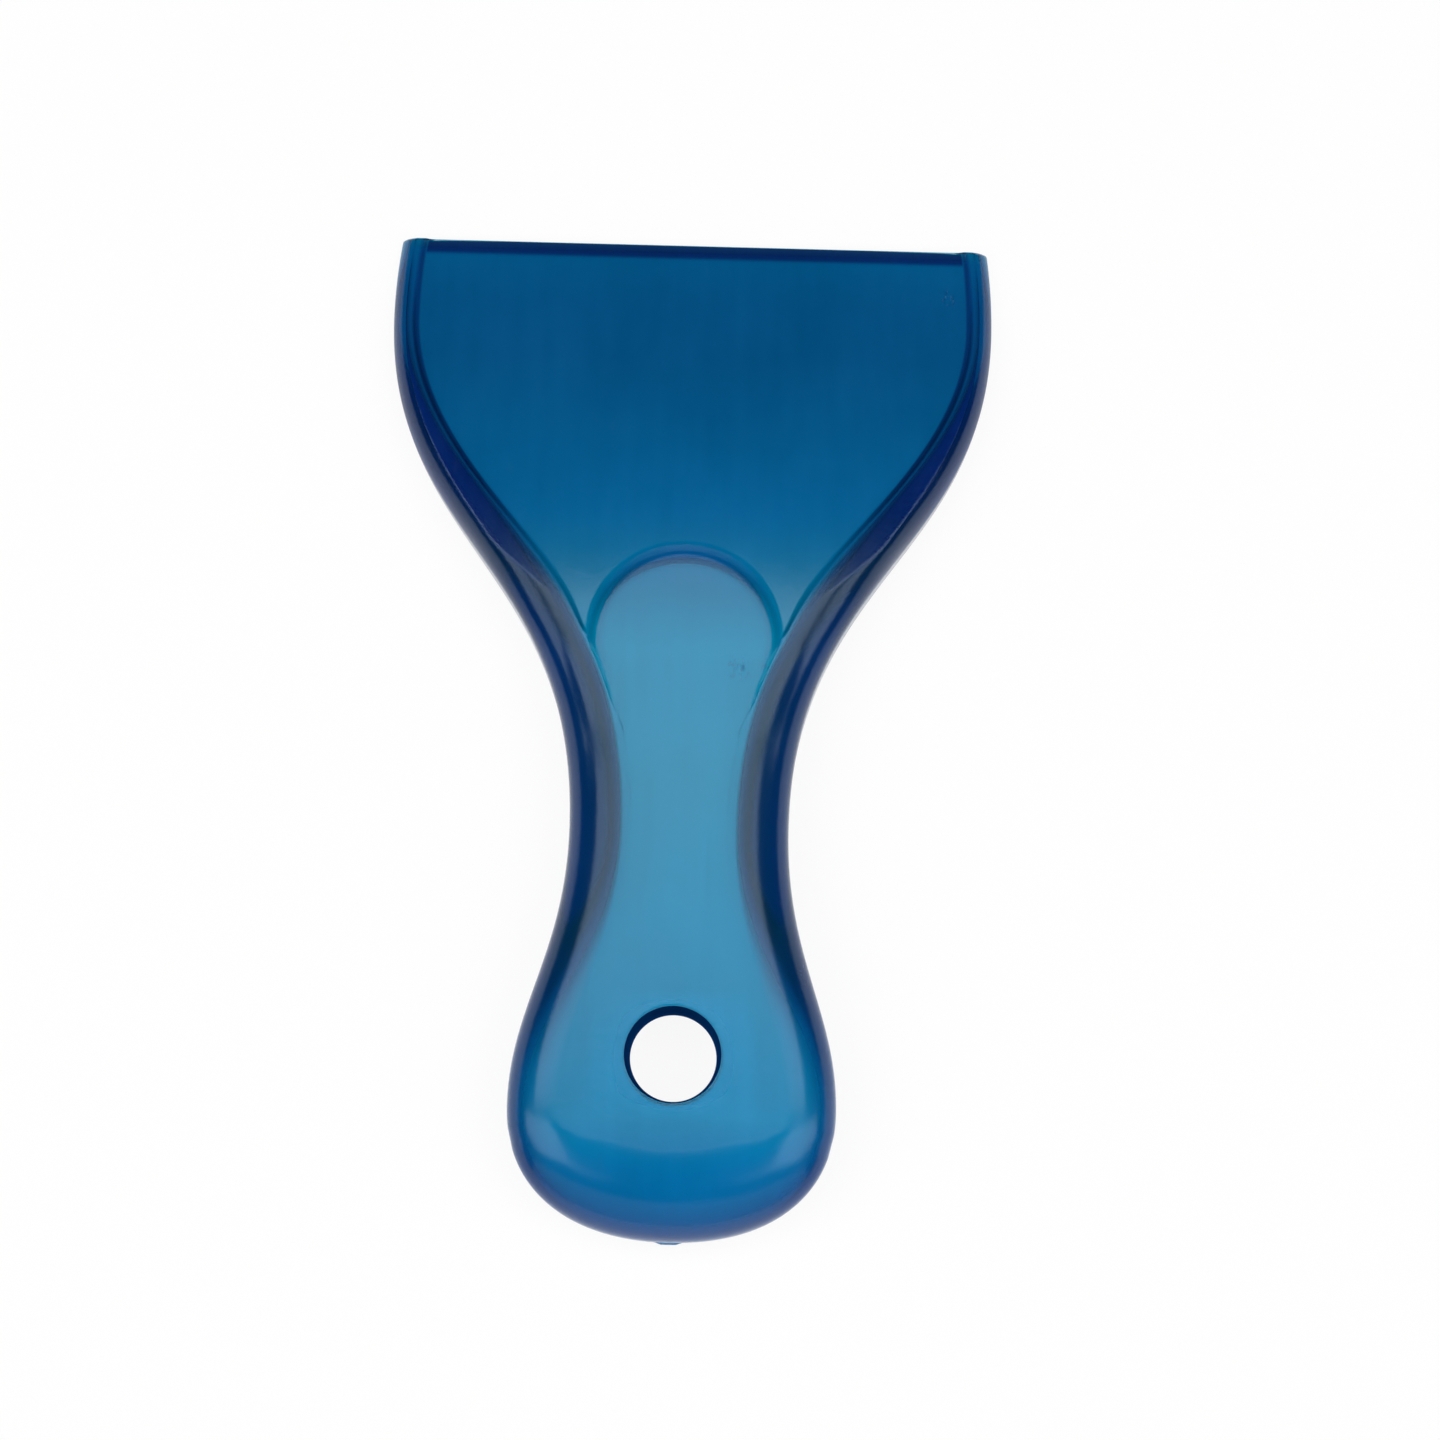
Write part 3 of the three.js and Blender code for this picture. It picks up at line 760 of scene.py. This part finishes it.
# Painted shade: the bore is painted dark navy, with faint streaks from the mould's pin.
bore_ramp.color_ramp.elements[0].color = (0.0015, 0.036, 0.15, 1)
bore_ramp.color_ramp.elements[1].color = (0.0025, 0.055, 0.21, 1)
bore.node_tree.links.new(drag, bore_ramp.inputs["Fac"])
bore.node_tree.links.new(bore_ramp.outputs["Color"], bore_surface.inputs["Base Color"])
bore.node_tree.links.new(remap(bore.node_tree, drag, 0.3, 0.7, 0.7, 0.9), bore_surface.inputs["Roughness"])
moulding.data.materials.clear()
moulding.data.materials.append(plastic)
moulding.data.materials.append(bore)
axis = Vector((0, hole_y * MM, 0))
for polygon in moulding.data.polygons:
    away = (polygon.center - axis) * Vector((1, 1, 0))
    inside = away.length < BORE_REACH * MM and polygon.center.z < BORE_TOP * MM
    polygon.material_index = 1 if inside and polygon.normal.dot(away) < 0 else 0
print("faces of the bore wall:", sum(polygon.material_index for polygon in moulding.data.polygons))
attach(moulding, "root")
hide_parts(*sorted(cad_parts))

# %% [markdown]
# ## The studio floor
# The tool lies on plain white paper. The paper glows a little by itself, so that it stays evenly white and
# shines up through the plastic. It lies a hair below the rim, because two faces in the same plane would
# flicker.

# %% Floor
FLOOR_SIZE, FLOOR_GAP, PAPER_GLOW = 6, 0.05, 0.91
bpy.ops.object.select_all(action="DESELECT")
bpy.ops.mesh.primitive_plane_add(size=FLOOR_SIZE, location=(0, 0, -FLOOR_GAP * MM))
floor = bpy.context.active_object
floor.name = "studio_floor"
paper = bpy.data.materials.new("white_paper")
paper.use_nodes = True
paper_surface = paper.node_tree.nodes["Principled BSDF"]
paper_surface.inputs["Base Color"].default_value = (0.1, 0.1, 0.1, 1)
paper_surface.inputs["Roughness"].default_value = 0.9
paper_surface.inputs["Specular IOR Level"].default_value = 0.1
paper_surface.inputs["Emission Color"].default_value = (1, 1, 1, 1)
paper_surface.inputs["Emission Strength"].default_value = PAPER_GLOW
floor.data.materials.append(paper)
print("floor:", floor.dimensions.x, "by", floor.dimensions.y, "m")

# %% [markdown]
# ## Soft lights
# Satin plastic shows its form by broad reflections. A wide strip overhead lays the sheen on the thumb rest
# and the handle, two large cards behind light the bulb and the ridge of the horns, and a low card lights the
# rear end. The world is nearly black, so that the bands between the lights stay dark.

# %% Lights
def soft_light(name, place, aim, size, power):
    bpy.ops.object.light_add(type="AREA", location=place)
    lamp = bpy.context.active_object
    lamp.name = name
    lamp.rotation_euler = (Vector(aim) - Vector(place)).to_track_quat("-Z", "Y").to_euler()
    lamp.data.shape = "RECTANGLE"
    lamp.data.size, lamp.data.size_y = size
    lamp.data.energy = power


soft_light("overhead_strip", place=(-0.15, 0.24, 1.2), aim=(-0.15, 0.24, 0), size=(2.2, 0.52), power=9.8)
for side in (-1, 1):
    card_x, card_y = side * 1.55, -0.55
    soft_light("rear_card", place=(card_x, card_y, 1.2), aim=(card_x, card_y, 0), size=(2.4, 0.8), power=13)
soft_light("low_card", place=(0, -1.2, 0.4), aim=(0, -0.07, 0), size=(3.0, 0.8), power=4.0)
world = bpy.data.worlds.new("dim_studio")
bpy.context.scene.world = world
world.use_nodes = True
world.node_tree.nodes["Background"].inputs["Color"].default_value = (0.005, 0.005, 0.005, 1)
bpy.context.scene.view_settings.view_transform = "Standard"

# %% [markdown]
# ## The camera
# The tool is seen from above through a long lens, from a little behind the end of the handle. The focal
# length was worked out in pixels of the picture. Blender wants it in millimetres on its 36 mm sensor.

# %% Camera
FRAME_PIXELS, FOCAL_PIXELS, SENSOR = 1440, 5320, 36.0
CAMERA_AT, CAMERA_TILT, CAMERA_ROLL = (0.0064, -0.09, 0.9), 5.945, 1.5
camera_data = bpy.data.cameras.new("photo_camera")
camera = bpy.data.objects.new("photo_camera", camera_data)
bpy.context.collection.objects.link(camera)
camera_data.sensor_width = SENSOR
camera_data.lens = SENSOR * FOCAL_PIXELS / FRAME_PIXELS
camera.matrix_world = (
    Matrix.Translation(CAMERA_AT)
    @ Matrix.Rotation(math.radians(CAMERA_TILT), 4, "X")
    @ Matrix.Rotation(math.radians(CAMERA_ROLL), 4, "Z")
)
bpy.context.scene.camera = camera
print("lens:", round(camera_data.lens, 1), "mm")
